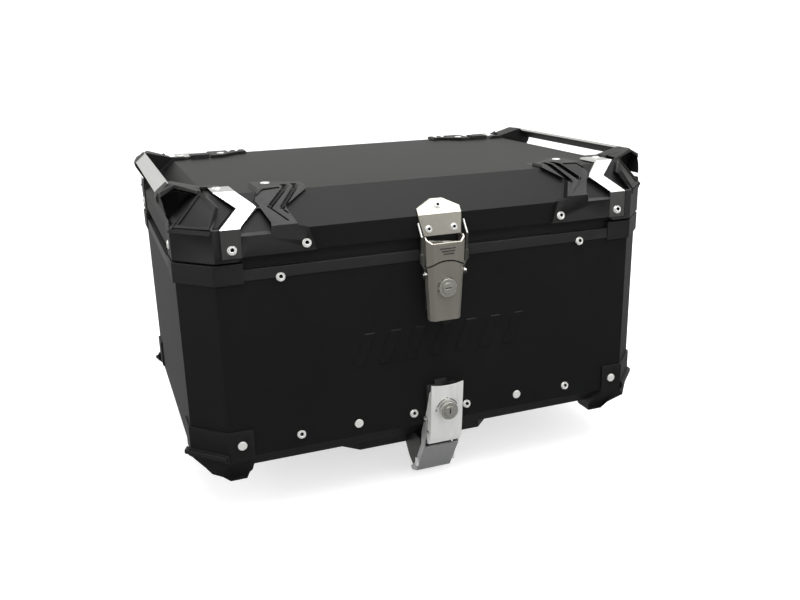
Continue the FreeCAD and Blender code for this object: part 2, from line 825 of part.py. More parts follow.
ARC_MIDDLE = 252.7
ARC_SIDE = 247
ARC_RADIUS = 31
ARC_GAP = 1.5
ACROSS = 30              # half width of any block or rod that cuts right across a latch
BRACKET_SHEET = 1.6
BRACKET_LOW = 199
BRACKET_HALF = 16
BRACKET_TOP_HALF = 20.8
BRACKET_FRONT = -178.6
EAR_IN = 14.2            # the two ears that carry the handle pin
EAR_OUT = 15.7
HANDLE_BOTTOM = 191.2
HANDLE_TOP = 254
HANDLE_BACK = -187.5
HANDLE_BACK_LOW = 242
LATCH_COVER_LOW = 236
LATCH_COVER_TOP = 277.4
MOUTH_FRONT = 271.6
BAIL_Y = -189.4
BAIL_JOG_LOW = 246.5
BAIL_JOG_HIGH = 251.5
FERRULE_HEIGHT = 9
LOCK_FIT = 0.02


def arc_cutter(name, below, gap):
    """Block whose one edge is the shallow arc where the handle meets the latch cover."""
    centre = (length(0), length(ARC_MIDDLE - ARC_RADIUS))
    front = length(-210)
    rear = length(-165)
    disc = rod(name + "_disc", "Y", length(ARC_RADIUS + gap), front, rear, centre)
    side_z = length(ARC_SIDE + gap)
    base = box(name + "_base", (length(-ACROSS), front, length(150)), (length(ACROSS), rear, side_z))
    lower = fuse(name + "_lower", disc, base)
    if below:
        return lower
    whole = box(name + "_whole", (length(-ACROSS), front, length(185)), (length(ACROSS), rear, length(290)))
    return cut(name + "_upper", whole, lower)


HANDLE_LOW = (12.4, 16.4, -193.8, -190.5, -183.5)
HANDLE_HIGH = (14.4, 19.8, -196.6, -192, -183.5)
COVER_LOW = (14.0, 19.9, -195.6, -191.6, -178.6)
COVER_HIGH = (14.9, 20.9, -196.8, -192, -178.6)


def latch_bracket():
    """Plate on the tub wall, stepped over the rim, with two arms that carry the handle pin."""
    front = -1 * deep
    sheet = BRACKET_SHEET
    low = length(BRACKET_LOW)
    over_rim = front - D["rim_proud"] - 0.05
    step_z = D["rim_low"] - 1
    top_z = D["lid_low"] - 0.3
    lower = prism(
        "bracket_lower", "YZ_Plane",
        [(front, low), (front, step_z), (front - sheet, step_z), (front - sheet, low)],
        length(-BRACKET_HALF), length(BRACKET_HALF),
    )
    upper = prism(
        "bracket_upper", "YZ_Plane",
        [
            (front, step_z - 1), (front, step_z), (over_rim, step_z + 0.4), (over_rim, top_z),
            (length(BRACKET_FRONT), top_z), (length(BRACKET_FRONT), step_z - 1),
        ],
        length(-BRACKET_TOP_HALF), length(BRACKET_TOP_HALF),
    )
    y = -1 * D["handle_y"]
    z = D["handle_z"]
    points = [
        (front - 1, z - 12), (front - 1, z + 6), (front - 3.2, z + 6), (front - 4, z + 0.6),
        (y - 0.8, z + 2.3), (y - 2.1, z + 0.8), (y - 2.1, z - 1.6), (y + 0.4, z - 3.4),
    ]
    ear = prism("bracket_ear", "YZ_Plane", points, length(EAR_IN), length(EAR_OUT))
    joined = fuse("bracket_joined", lower, upper, ear, mirrored("bracket_ear_left", ear, "X"))
    hole = rod("bracket_hole", "X", D["latch_pin_radius"], length(-ACROSS), length(ACROSS), (y, z))
    return keep("latch_bracket", cut("bracket", joined, hole))


def latch_cover():
    top = LATCH_COVER_TOP
    low = length(LATCH_COVER_LOW)
    channel = tapered_channel("cover_channel", low, length(top), COVER_LOW, COVER_HIGH)
    mouth = prism(
        "cover_mouth", "YZ_Plane",
        [(length(u), length(v)) for u, v in (
            (-187, top + 3), (-189.5, top), (-195.4, MOUTH_FRONT), (-210, MOUTH_FRONT), (-210, top + 3),
        )],
        length(-ACROSS), length(ACROSS),
    )
    trimmed = cut("cover_channel_trimmed", channel, arc_cutter("cover_arc", True, ARC_GAP), mouth)
    y = -1 * (D["bail_y"] + 0.6)
    lip = box(
        "cover_lip_space",
        (length(-ACROSS), y, low - 6), (length(ACROSS), length(-165), length(ARC_SIDE)),
    )
    return keep("latch_cover", cut("latch_cover_solid", trimmed, lip))


def latch_handle():
    channel = tapered_channel(
        "handle_channel", length(HANDLE_BOTTOM), length(HANDLE_TOP), HANDLE_LOW, HANDLE_HIGH
    )
    trimmed = cut("handle_trimmed", channel, arc_cutter("handle_arc", False, 0))
    pin_hole = rod(
        "handle_pin_hole", "X", D["latch_pin_radius"] + D["running_clearance"],
        length(-ACROSS), length(ACROSS),
        (-1 * D["handle_y"], D["handle_z"]),
    )
    link_hole = rod(
        "handle_link_hole", "X", D["latch_pin_radius"], length(-ACROSS), length(ACROSS),
        (-1 * D["bail_y"], D["bail_z"]),
    )
    lock_hole = rod(
        "handle_lock_hole", "Y", D["lock_radius"] + LOCK_FIT,
        length(-210), length(-186), (length(0), D["upper_lock_z"]),
    )
    back = box(
        "handle_back",
        (length(-ACROSS), length(HANDLE_BACK), length(HANDLE_BACK_LOW)),
        (length(ACROSS), length(-165), length(260)),
    )
    return keep("latch_handle", cut("handle", trimmed, pin_hole, link_hole, lock_hole, back))


def latch_pin():
    centre = (-1 * D["handle_y"], D["handle_z"])
    half = length(19.4)
    return keep("latch_pin", rod("handle_pin", "X", D["latch_pin_radius"], -1 * half, half, centre))


def bail_pins():
    centre = (-1 * D["bail_y"], D["bail_z"])
    outer = D["bail_eye_x"] + D["bail_wire_radius"] + 0.2
    stub = rod("bail_stub", "X", D["latch_pin_radius"], length(EAR_OUT + 0.5), outer, centre)
    head = rod("bail_stub_head", "X", D["latch_pin_radius"] + 0.9, outer, outer + 1, centre)
    return keep("bail_pins", both_sides("bail_stubs", fuse("bail_pin", stub, head)))


def latch_bails():
    """Two wire links; each has an eye on the handle and stands beside the strike."""
    radius = D["bail_wire_radius"].value
    x = D["bail_x"].value
    y = -D["bail_y"].value
    z = D["bail_z"].value
    eye_x = D["bail_eye_x"].value
    path = [
        FreeCAD.Vector(eye_x, y, z + 3), FreeCAD.Vector(eye_x + 0.3, y - 0.2, BAIL_JOG_LOW),
        FreeCAD.Vector(x, BAIL_Y, BAIL_JOG_HIGH), FreeCAD.Vector(x, BAIL_Y, 261),
        FreeCAD.Vector(x, -190.4, 278), FreeCAD.Vector(x, -181.6, 289.6),
    ]
    joint = radius + 0.15
    wire = Part.makeSphere(joint, path[0])
    for start, end in zip(path, path[1:]):
        wire = wire.fuse(Part.makeCylinder(radius, (end - start).Length, start, end - start))
        wire = wire.fuse(Part.makeSphere(joint, end))
    foot = FreeCAD.Vector(x, BAIL_Y, BAIL_JOG_HIGH + 0.5)
    ferrule = Part.makeCylinder(radius + 0.7, FERRULE_HEIGHT, foot, FreeCAD.Vector(0, 0, 1))
    pin = D["latch_pin_radius"].value + D["running_clearance"].value
    sideways = FreeCAD.Vector(1, 0, 0)
    centre = FreeCAD.Vector(eye_x - radius, y, z)
    eye = Part.makeCylinder(pin + 1.8, 2 * radius, centre, sideways)
    hole = Part.makeCylinder(pin, 4 * radius, centre - radius * sideways, sideways)
    right = wire.fuse(ferrule).fuse(eye).cut(hole).removeSplitter()
    feature = doc.addObject("Part::Feature", "bails")
    feature.Shape = Part.makeCompound([right, right.mirror(FreeCAD.Vector(), sideways)])
    return keep("latch_bails", feature)


def lock_set(prefix, z, face_y, plate_y, tail_y):
    """Barrel fixed in the handle, plug that turns in it, and the cam behind."""
    centre = (length(0), z)
    clearance = D["running_clearance"]
    bezel = rod(prefix + "_bezel", "Y", D["lock_radius"] + 0.9, length(face_y + 1.2), length(plate_y), centre)
    barrel = rod(prefix + "_body", "Y", D["lock_radius"], length(plate_y), length(tail_y), centre)
    bore = rod(
        prefix + "_bore", "Y", D["plug_radius"] + clearance, length(face_y - 1), length(tail_y + 1), centre
    )
    keep(prefix + "_lock_barrel", cut(prefix + "_barrel", fuse(prefix + "_shell", bezel, barrel), bore))
    plug = rod(prefix + "_turning", "Y", D["plug_radius"], length(face_y), length(tail_y + 1.4), centre)
    slot = box(
        prefix + "_keyway",
        (length(-3.2), length(face_y - 1), z - 0.6), (length(3.2), length(face_y + 6), z + 0.6),
    )
    keep(prefix + "_lock_plug", cut(prefix + "_plug", plug, slot))
    cam = box(
        prefix + "_cam_blank",
        (length(-5), length(tail_y + 1.4), z - 5), (length(5), length(tail_y + 3), z + 11),
    )
    keep(prefix + "_lock_cam", cam)


def strike_plate():
    """Catch on the lid front: a flat on the bevel and a hooked front below the crease."""
    crease = D["lid_crease"]
    proud = D["wall"]
    low = length(STRIKE_LOW)
    outer = lid_envelope("strike_outer", proud, D["lid_low"])
    inner = lid_envelope("strike_inner", length(0), D["lid_low"] - 1)
    front = [
        (length(-6.4), crease + 14.2), (length(-22.9), crease + 6.5), (length(-22.9), crease - 1),
        (length(-22.3), crease - 5), (length(-19.7), low), (length(19.7), low), (length(22.3), crease - 5),
        (length(22.9), crease - 1), (length(22.9), crease + 6.5), (length(6.4), crease + 14.2),
    ]
    skin = cut("strike_skin", outer, inner)
    back = -1 * lid_deep
    lip = back - STRIKE_LIP
    hook = prism(
        "strike_hook", "YZ_Plane", [(back, crease), (back - proud, crease), (lip, low), (back, low)],
        length(-23), length(23),
    )
    view = prism("strike_view", "XZ_Plane", front, length(-200), length(-150))
    solid = common("strike_solid", fuse("strike_raw", skin, hook), view)
    hollow = prism(
        "strike_hollow", "YZ_Plane",
        [(back - 0.01, crease - 4), (back - 1.2, crease - 4), (lip + 1.6, low - 1), (back - 0.01, low - 1)],
        length(-17.5), length(17.5),
    )
    holes = bores("strike_bores", STRIKE_SCREWS + STRIKE_BEVEL_SCREW, 0.8)
    return keep("strike_plate", cut("strike", solid, hollow, holes))


# ---------------------------------------------------------------- claw latch
def lever_bracket():
    """Plate above the lower bevel with two ears for the lever pin."""
    front = -1 * deep
    sheet = 1.5
    tongue_low = 116
    plate = box(
        "lever_plate",
        (length(-16), front - sheet, length(74)), (length(16), front, length(tongue_low)),
    )
    tongue = box(
        "lever_tongue",
        (length(-7), front - sheet, length(tongue_low)), (length(7), front, length(tongue_low + 5)),
    )
    y = -1 * D["lever_y"]
    z = D["lever_z"]
    points = [
        (front - 1.4, z + 11), (front - 1.4, z + 2), (y + 3, z - 3.5), (y - 1.8, z - 3.2), (y - 3.3, z - 1),
        (y - 3.5, z + 3), (y - 0.5, z + 6.5), (y + 3.5, z + 9.8),
    ]
    ear = prism("lever_ear", "YZ_Plane", points, length(14.5), length(16))
    joined = fuse("lever_bracket_joined", plate, tongue, ear, mirrored("lever_ear_left", ear, "X"))
    hole = rod("lever_bracket_hole", "X", D["claw_pin_radius"], length(-ACROSS), length(ACROSS), (y, z))
    return keep("claw_bracket", cut("lever_bracket", joined, hole))


def claw_lever():
    """Plate pulled by its top edge; it swings on the bracket and carries the claw pin."""
    thick = 1.5
    face = [
        (-195, 122.5), (-195 + thick, 122.5), (-191 + thick, 69), (-188.2 + thick, 60), (-184.6, 54),
        (-180, 52.4), (-180, 51), (-185.4, 52.4), (-189.6, 59.4), (-191, 69),
    ]
    half = 17.9
    plate = prism(
        "lever_face", "YZ_Plane", [(length(u), length(v)) for u, v in face], length(-half), length(half)
    )
    scoop = rod("lever_scoop", "Y", length(70), length(-200), length(-190), (length(0), length(190.2)))
    side = [
        (-194.6, 118), (-188, 112), (-181.5, 92), (-177.2, 83), (-177.2, 74), (-178.5, 58), (-181, 53),
        (-186, 54), (-190.3, 62), (-190.8, 70),
    ]
    wing = prism(
        "lever_wing", "YZ_Plane", [(length(u), length(v)) for u, v in side],
        length(half - thick), length(half),
    )
    joined = fuse("lever_joined", plate, wing, mirrored("lever_wing_left", wing, "X"))
    pin_hole = rod(
        "lever_pin_hole", "X", D["claw_pin_radius"] + D["running_clearance"],
        length(-ACROSS), length(ACROSS),
        (-1 * D["lever_y"], D["lever_z"]),
    )
    claw_hole = rod(
        "lever_claw_hole", "X", D["claw_pin_radius"],
        length(-ACROSS), length(ACROSS), (-1 * D["claw_y"], D["claw_z"]),
    )
    lock_hole = rod(
        "lever_lock_hole", "Y", D["lock_radius"] + LOCK_FIT,
        length(-205), length(-186), (length(0), D["lower_lock_z"]),
    )
    return keep("claw_lever", cut("lever", joined, scoop, pin_hole, claw_hole, lock_hole))


def claw_pins():
    radius = D["claw_pin_radius"]
    lever_centre = (-1 * D["lever_y"], D["lever_z"])
    lever_half = length(18.3)
    keep("lever_pin", rod("lever_pin_rod", "X", radius, -1 * lever_half, lever_half, lever_centre))
    claw_centre = (-1 * D["claw_y"], D["claw_z"])
    claw_half = length(21.2)
    keep("claw_pin", rod("claw_pin_rod", "X", radius, -1 * claw_half, claw_half, claw_centre))


def claw():
    """Channel shaped hook hanging from the lever and gripping the plate nose from below."""
    outer_half = 20.2
    wall = 1.6
    y = -1 * D["claw_y"]
    z = D["claw_z"]
    arm = [
        (y - 3.6, z + 1), (y - 2.4, z + 3), (y + 2.4, z + 3), (y + 3.6, z + 1), (y + 3.6, z - 5.5),
        (length(-171), length(61)), (length(-169), length(46)), (length(-150), length(14)),
        (length(-137), length(4)), (length(-141), length(1)), (length(-154), length(6)),
        (length(-177), length(44)), (length(-180), length(60)),
    ]
    side = prism("claw_arm", "YZ_Plane", arm, length(outer_half - wall), length(outer_half))
    face = [
        (-177, 44), (-154, 6), (-141, 1), (-140.3, 2.9), (-152.6, 7.6), (-175.3, 45.1),
    ]
    front = prism(
        "claw_face", "YZ_Plane", [(length(u), length(v)) for u, v in face],
        length(-outer_half), length(outer_half),
    )
    hole = rod(
        "claw_hole", "X", D["claw_pin_radius"] + D["running_clearance"],
        length(-ACROSS), length(ACROSS), (y, z),
    )
    joined = fuse("claw_joined", front, side, mirrored("claw_arm_left", side, "X"))
    return keep("claw", cut("claw_solid", joined, hole))


# ---------------------------------------------------------------- mounting plate
def mounting_plate():
    """Tray bolted to the rack: flat top, turned down edge and the nose for the claw."""
    half = D["plate_half_width"]
    front = -1 * D["plate_front"]
    rear = D["plate_rear"]
    low = D["plate_low"]
    high = D["plate_high"]
    thick = D["plate_sheet"]
    chamfer = 16
    plan = [
        (-half, front + chamfer), (-half + chamfer, front), (half - chamfer, front), (half, front + chamfer),
        (half, rear - chamfer), (half - chamfer, rear), (-half + chamfer, rear), (-half, rear - chamfer),
    ]
    tray = prism("plate_tray", "XY_Plane", plan, low, high)
    inner = [
        (-half + thick, front + chamfer + 1), (-half + chamfer + 1, front + thick),
        (half - chamfer - 1, front + thick), (half - thick, front + chamfer + 1),
        (half - thick, rear - chamfer - 1), (half - chamfer - 1, rear - thick),
        (-half + chamfer + 1, rear - thick), (-half + thick, rear - chamfer - 1),
    ]
    hollow = prism("plate_hollow", "XY_Plane", inner, low - 1, high - thick)
    nose = prism(
        "plate_nose", "YZ_Plane",
        [(length(u), length(v)) for u, v in (
            (-116, 47.5), (-160, 47.5), (-166, 33.5), (-151, 8.9), (-139.8, 4.6), (-127, 12), (-116, 25),
        )],
        length(-18), length(18),
    )
    holes = [
        rod("rack_hole_%d" % index, "Z", D["rack_bolt_radius"], length(-1), high + 1, (x, y))
        for index, (x, y) in enumerate(rack_bolts())
    ]
    bolt_holes = bores("plate_bolt_bores", PLATE_BOLTS)
    solid = fuse("plate_nosed", cut("tray", tray, hollow), nose)
    return keep("mounting_plate", cut("plate", solid, bolt_holes, *holes))


def rack_bolts():
    signs = [(x_sign, y_sign) for x_sign in (-1, 1) for y_sign in (-1, 1)]
    return [(x_sign * D["rack_bolt_x"], y_sign * D["rack_bolt_y"]) for x_sign, y_sign in signs]


def rack_spacers():
    """Four tubes between the plate and the rack, around the rack bolts."""
    tubes = []
    high = D["plate_high"] - D["plate_sheet"]
    for index, centre in enumerate(rack_bolts()):
        outer = rod("spacer_outer_%d" % index, "Z", D["spacer_radius"], length(0), high, centre)
        hole = rod("spacer_hole_%d" % index, "Z", D["rack_bolt_radius"], length(-1), high + 1, centre)
        tubes.append(cut("spacer_%d" % index, outer, hole))
    return keep("rack_spacers", group("spacers", *tubes))


def rear_hooks():
    """Hooks under the tub floor that reach below the rear edge of the plate."""
    low = D["plate_low"]
    rear = D["plate_rear"]
    points = [
        (rear + 1, D["floor_z"]), (rear + 5, D["floor_z"]), (rear + 5, low - 4), (rear - 8, low - 4),
        (rear - 8, low - 0.6), (rear + 1, low - 0.6),
    ]
    hook = prism("rear_hook", "YZ_Plane", points, length(38), length(62))
    return keep("rear_hooks", both_sides("hooks", hook))


# ---------------------------------------------------------------- build every sub-part
case_shell()
case_rim()
at_four_corners("foot", foot_guard())
at_four_corners("case_guard", upper_guard())
floor_mat()
fasteners("case_screws", RIM_SCREWS + ROW_SCREWS)
fasteners("case_rivets", ROW_RIVETS + FOOT_RIVETS, socket=False)
lid_shell()
lid_frame()
lid_seal()
at_four_corners("lid_corner", lid_corner())
at_four_corners("corner_strap", corner_strap())
bar = keep("grab_bar_right", grab_bar())
keep("grab_bar_left", mirrored("bar_left", bar, "X"))
fasteners("lid_screws", STRAP_SCREWS + LEG_SCREWS + SIDE_SCREWS + STRAP_TOP_SCREWS)
fasteners("lid_rivets", TOP_RIVETS, socket=False)
case_hinge_leaves()
lid_hinge_leaves()
hinge_pins()
latch_bracket()
latch_cover()
latch_handle()
latch_pin()
bail_pins()
latch_bails()
lock_set("upper", D["upper_lock_z"], -199.4, -195.9, -185.5)
strike_plate()
fasteners("strike_screws", STRIKE_SCREWS + STRIKE_BEVEL_SCREW, 0.8)
lever_bracket()
claw_lever()
claw_pins()
claw()
lock_set("lower", D["lower_lock_z"], -201.5, -193.7, -183)
mounting_plate()
rack_spacers()
rear_hooks()
fasteners("plate_bolts", PLATE_BOLTS)
doc.recompute()

# ---------------------------------------------------------------- check and write
for item in doc.Objects:
    if "Invalid" in item.State or "Error" in item.State:
        raise RuntimeError("%s did not build: %s" % (item.Name, item.State))
for name, solid in nodes.items():
    if solid.Shape.isNull() or not solid.Shape.isValid() or not solid.Shape.Solids:
        raise RuntimeError("%s has no valid solid" % name)
    solid.Shape.exportStep("parts/%s.step" % name)
    print("%-24s %2d solids %10.0f mm3" % (name, len(solid.Shape.Solids), solid.Shape.Volume))
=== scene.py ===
import bpy
import bmesh
import json
import math
from mathutils import Matrix, Vector


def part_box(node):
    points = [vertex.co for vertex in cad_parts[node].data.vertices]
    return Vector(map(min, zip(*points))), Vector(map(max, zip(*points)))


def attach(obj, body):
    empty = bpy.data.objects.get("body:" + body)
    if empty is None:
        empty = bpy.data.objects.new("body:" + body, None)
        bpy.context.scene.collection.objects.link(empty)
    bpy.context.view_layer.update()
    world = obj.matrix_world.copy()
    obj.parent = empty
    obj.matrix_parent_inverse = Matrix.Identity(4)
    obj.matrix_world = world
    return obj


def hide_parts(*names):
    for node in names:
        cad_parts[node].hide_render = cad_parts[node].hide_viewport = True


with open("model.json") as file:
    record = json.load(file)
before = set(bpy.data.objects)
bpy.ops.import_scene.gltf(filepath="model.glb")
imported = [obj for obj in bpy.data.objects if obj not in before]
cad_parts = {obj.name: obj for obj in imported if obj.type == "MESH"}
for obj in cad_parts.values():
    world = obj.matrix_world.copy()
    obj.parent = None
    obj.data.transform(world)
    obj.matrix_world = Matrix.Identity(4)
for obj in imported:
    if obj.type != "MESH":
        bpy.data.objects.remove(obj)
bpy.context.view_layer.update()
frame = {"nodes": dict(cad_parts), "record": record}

# Motorcycle top case. Metres, in the frame's own axes: +X right, +Y rear, +Z up.
MM = 0.001
nodes = frame["nodes"]
scene = bpy.context.scene


# ---------------------------------------------------------------- material helpers
def blank_material(name, colour, roughness, metallic=0.0, specular=0.5):
    """A Principled material; returns the material, its node tree and the shader."""
    material = bpy.data.materials.new(name)
    material.use_nodes = True
    tree = material.node_tree
    shader = tree.nodes["Principled BSDF"]
    shader.inputs["Base Color"].default_value = (*colour, 1)
    shader.inputs["Roughness"].default_value = roughness
    shader.inputs["Metallic"].default_value = metallic
    shader.inputs["Specular IOR Level"].default_value = specular
    return material, tree, shader


def object_noise(tree, scale, detail=3.0, stretch=(1, 1, 1)):
    """Noise texture in object coordinates; stretch scales each axis."""
    place = tree.nodes.new("ShaderNodeTexCoord")
    mapping = tree.nodes.new("ShaderNodeMapping")
    mapping.inputs["Scale"].default_value = stretch
    noise = tree.nodes.new("ShaderNodeTexNoise")
    noise.inputs["Scale"].default_value = scale
    noise.inputs["Detail"].default_value = detail
    tree.links.new(place.outputs["Object"], mapping.inputs["Vector"])
    tree.links.new(mapping.outputs["Vector"], noise.inputs["Vector"])
    return noise.outputs["Fac"]


def remap(tree, value, low, high, from_low=0.0, from_high=1.0):
    """Map Range node from one interval to another."""
    node = tree.nodes.new("ShaderNodeMapRange")
    node.inputs["From Min"].default_value = from_low
    node.inputs["From Max"].default_value = from_high
    node.inputs["To Min"].default_value = low
    node.inputs["To Max"].default_value = high
    tree.links.new(value, node.inputs["Value"])
    return node.outputs["Result"]


def bump(tree, shader, height, strength, distance, below=None):
    """Bump from a height; below chains another bump under it."""
    node = tree.nodes.new("ShaderNodeBump")
    node.inputs["Strength"].default_value = strength
    node.inputs["Distance"].default_value = distance
    tree.links.new(height, node.inputs["Height"])
    if below is not None:
        tree.links.new(below, node.inputs["Normal"])
    tree.links.new(node.outputs["Normal"], shader.inputs["Normal"])
    return node.outputs["Normal"]


def mix_colour(tree, shader, factor, first, second):
    """Base colour between two colours by factor."""
    node = tree.nodes.new("ShaderNodeMix")
    node.data_type = "RGBA"
    node.inputs["A"].default_value = (*first, 1)
    node.inputs["B"].default_value = (*second, 1)
    tree.links.new(factor, node.inputs["Factor"])
    tree.links.new(node.outputs["Result"], shader.inputs["Base Color"])


def painted_edge_highlight(tree):
    """0 on flat stretches, up to 1 on convex edges: the mask of a painted highlight along the edges."""
    geometry = tree.nodes.new("ShaderNodeNewGeometry")
    return remap(tree, geometry.outputs["Pointiness"], 0, 1, 0.52, 0.62)


# ---------------------------------------------------------------- materials
def powder_coat():
    """Fine textured satin powder coat on the aluminium tub and lid."""
    material, tree, shader = blank_material("powder_coat", (0.007, 0.0075, 0.007), 0.5, specular=0.28)
    clouds = object_noise(tree, 14, 4)
    mix_colour(tree, shader, clouds, (0.0035, 0.004, 0.0037), (0.0055, 0.0062, 0.0056))
    grain = object_noise(tree, 1500, 2)
    peel = object_noise(tree, 420, 2)
    tree.links.new(remap(tree, grain, 0.44, 0.60), shader.inputs["Roughness"])
    first = bump(tree, shader, peel, 0.10, 0.0004)
    bump(tree, shader, grain, 0.16, 0.00018, first)
    return material


def moulded_plastic(name, colour, roughness):
    """Black moulded plastic with a spark-eroded grain, its convex edges painted lighter as a painted
    highlight.
    """
    material, tree, shader = blank_material(name, colour, roughness, specular=0.42)
    # painted highlight: convex edges are painted lighter than the plastic's own colour
    mix_colour(tree, shader, painted_edge_highlight(tree), colour, tuple(2.2 * c + 0.006 for c in colour))
    grain = object_noise(tree, 1100, 3)
    cells = object_noise(tree, 300, 2)
    tree.links.new(remap(tree, cells, roughness - 0.05, roughness + 0.08), shader.inputs["Roughness"])
    bump(tree, shader, grain, 0.22, 0.0002)
    return material


def rubber(name, colour):
    """Matt rubber with a coarse grain."""
    material, tree, shader = blank_material(name, colour, 0.8, specular=0.2)
    grain = object_noise(tree, 600, 3)
    mix_colour(tree, shader, grain, colour, tuple(1.6 * c for c in colour))
    bump(tree, shader, grain, 0.3, 0.0003)
    return material


def brushed_metal(name, colour, roughness, along, fine=260, metallic=1.0):
    """Brushed metal; along is the axis in which the brush marks run."""
    material, tree, shader = blank_material(name, colour, roughness, metallic)
    stretch = [1.0, 1.0, 1.0]
    stretch["XYZ".index(along)] = 0.03
    marks = object_noise(tree, fine * 10, 4, tuple(stretch))
    broad = object_noise(tree, fine, 3, tuple(stretch))
    darker = tuple(0.82 * c for c in colour)
    mix_colour(tree, shader, broad, darker, colour)
    tree.links.new(remap(tree, marks, roughness - 0.07, roughness + 0.12), shader.inputs["Roughness"])
    bump(tree, shader, marks, 0.12, 0.0001)
    return material


def turned_steel(name, colour, roughness, metallic=1.0):
    """Smooth machined metal with faint spots."""
    material, tree, shader = blank_material(name, colour, roughness, metallic)
    spots = object_noise(tree, 900, 3)
    mix_colour(tree, shader, spots, tuple(0.93 * c for c in colour), colour)
    tree.links.new(remap(tree, spots, roughness - 0.03, roughness + 0.05), shader.inputs["Roughness"])
    bump(tree, shader, spots, 0.02, 0.0001)
    return material


MATERIALS = {
    "powder_coat": powder_coat(),
    "black_plastic": moulded_plastic("black_plastic", (0.004, 0.0043, 0.004), 0.5),
    "black_metal": moulded_plastic("black_metal", (0.009, 0.009, 0.009), 0.42),
    "frame_plastic": moulded_plastic("frame_plastic", (0.005, 0.005, 0.005), 0.5),
    "seal_rubber": rubber("seal_rubber", (0.012, 0.012, 0.012)),
    "mat_rubber": rubber("mat_rubber", (0.02, 0.02, 0.02)),
    "strap_aluminium": brushed_metal("strap_aluminium", (0.70, 0.70, 0.69), 0.34, "Z"),
    "bar_aluminium": brushed_metal("bar_aluminium", (0.74, 0.74, 0.73), 0.30, "Y"),
    "fastener_steel": turned_steel("fastener_steel", (0.78, 0.78, 0.76), 0.30, 0.5),
    "pin_steel": turned_steel("pin_steel", (0.60, 0.60, 0.58), 0.30),
    "latch_steel": brushed_metal("latch_steel", (0.60, 0.57, 0.50), 0.32, "Z", metallic=0.85),
    "claw_steel": brushed_metal("claw_steel", (0.80, 0.80, 0.79), 0.42, "Z", metallic=0.5),
    # darker copy of claw_steel, used on the claw body alone: painted shade
    "claw_steel_painted_shade": brushed_metal("claw_steel_painted_shade", (0.50, 0.50, 0.505), 0.36, "Z", metallic=0.72),
    "lock_chrome": turned_steel("lock_chrome", (0.62, 0.61, 0.56), 0.20, 0.8),
}


# ---------------------------------------------------------------- mesh helpers
def piece_of(name, mesh, slot, body, bevel=None, flat=False):
    """Make a mesh into a shown piece: material, body, and rounded edges if asked."""
    piece = bpy.data.objects.new(name, mesh)
    scene.collection.objects.link(piece)
    indices = [polygon.material_index for polygon in mesh.polygons]
    mesh.materials.clear()
    mesh.materials.append(MATERIALS[slot])
    mesh.polygons.foreach_set("material_index", indices)
    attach(piece, body)
    if bevel:
        soften(piece, bevel, flat)
    return piece


WELD_GAP = 0.01 * MM
SHARP_ANGLE = math.radians(28)
FLAT_ANGLE = math.radians(0.6)


def soften(piece, width, flat=False):
    """Round the sharp edges of a piece by modifiers; flat keeps its faces flat shaded."""
    weld = piece.modifiers.new("weld", "WELD")
    weld.merge_threshold = WELD_GAP
    if not flat:
        merge = piece.modifiers.new("flat", "DECIMATE")
        merge.decimate_type = "DISSOLVE"
        merge.angle_limit = FLAT_ANGLE
    edge = piece.modifiers.new("edge", "BEVEL")
    edge.width = width
    edge.segments = 2
    edge.limit_method = "ANGLE"
    edge.angle_limit = SHARP_ANGLE
    if not flat:
        normals = piece.modifiers.new("normals", "WEIGHTED_NORMAL")
        normals.mode = "FACE_AREA"
        normals.weight = 100
        normals.keep_sharp = True
    for polygon in piece.data.polygons:
        polygon.use_smooth = not flat


def hull(points):
    """Convex solid round points given in millimetres."""
    work = bmesh.new()
    for point in points:
        work.verts.new(Vector(point) * MM)
    result = bmesh.ops.convex_hull(work, input=work.verts)
    unused = result["geom_interior"] + result["geom_unused"]
    loose = {v for v in unused if isinstance(v, bmesh.types.BMVert)}
    bmesh.ops.delete(work, geom=list(loose), context="VERTS")
    bmesh.ops.recalc_face_normals(work, faces=work.faces)
    mesh = bpy.data.meshes.new("hull")
    work.to_mesh(mesh)
    work.free()
    return mesh


def prism_y(outline, front, back):
    """Solid of an XZ outline (convex, millimetres) between two depths."""
    return hull([(x, y, z) for x, z in outline for y in (front, back)])


def joined(meshes):
    """One mesh holding several."""
    work = bmesh.new()
    for mesh in meshes:
        work.from_mesh(mesh)
    result = bpy.data.meshes.new("joined")
    work.to_mesh(result)
    work.free()
    return result


def boolean(mesh, tools, operation):
    """mesh with the tools joined to it (UNION) or cut from it (DIFFERENCE)."""
    base = bpy.data.objects.new("work", mesh)
    scene.collection.objects.link(base)
    helpers = []
    for tool in tools:
        helper = bpy.data.objects.new("tool", tool)
        scene.collection.objects.link(helper)
        helpers.append(helper)
        modifier = base.modifiers.new("boolean", "BOOLEAN")
        modifier.operation = operation
        modifier.solver = "EXACT"
        modifier.object = helper
    bpy.context.view_layer.update()
    evaluated = base.evaluated_get(bpy.context.evaluated_depsgraph_get())
    result = bpy.data.meshes.new_from_object(evaluated)
    for item in [base] + helpers:
        bpy.data.objects.remove(item)
    return result


def welded_copy(node):
    """Closed copy of a CAD node's mesh, for cutting details into."""
    work = bmesh.new()
    work.from_mesh(node.data)
    bmesh.ops.remove_doubles(work, verts=work.verts, dist=WELD_GAP)
    bmesh.ops.dissolve_limit(
        work, angle_limit=math.radians(0.3), verts=work.verts, edges=work.edges, delimit=set()
    )
    mesh = bpy.data.meshes.new("copy")
    work.to_mesh(mesh)
    work.free()
    return mesh


def mirrored(mesh, flip_x, flip_y):
    """Mirror image of a mesh, with its faces still pointing outwards."""
    copy = mesh.copy()
    copy.transform(Matrix.Diagonal((-1 if flip_x else 1, -1 if flip_y else 1, 1, 1)))
    if flip_x != flip_y:
        copy.flip_normals()
    return copy


def corners():
    """Each corner's name, and whether the front right shape is flipped in X and in Y to reach it."""
    for end, flip_y in (("front", False), ("rear", True)):
        for side, flip_x in (("right", False), ("left", True)):
            yield "%s_%s" % (end, side), flip_x, flip_y


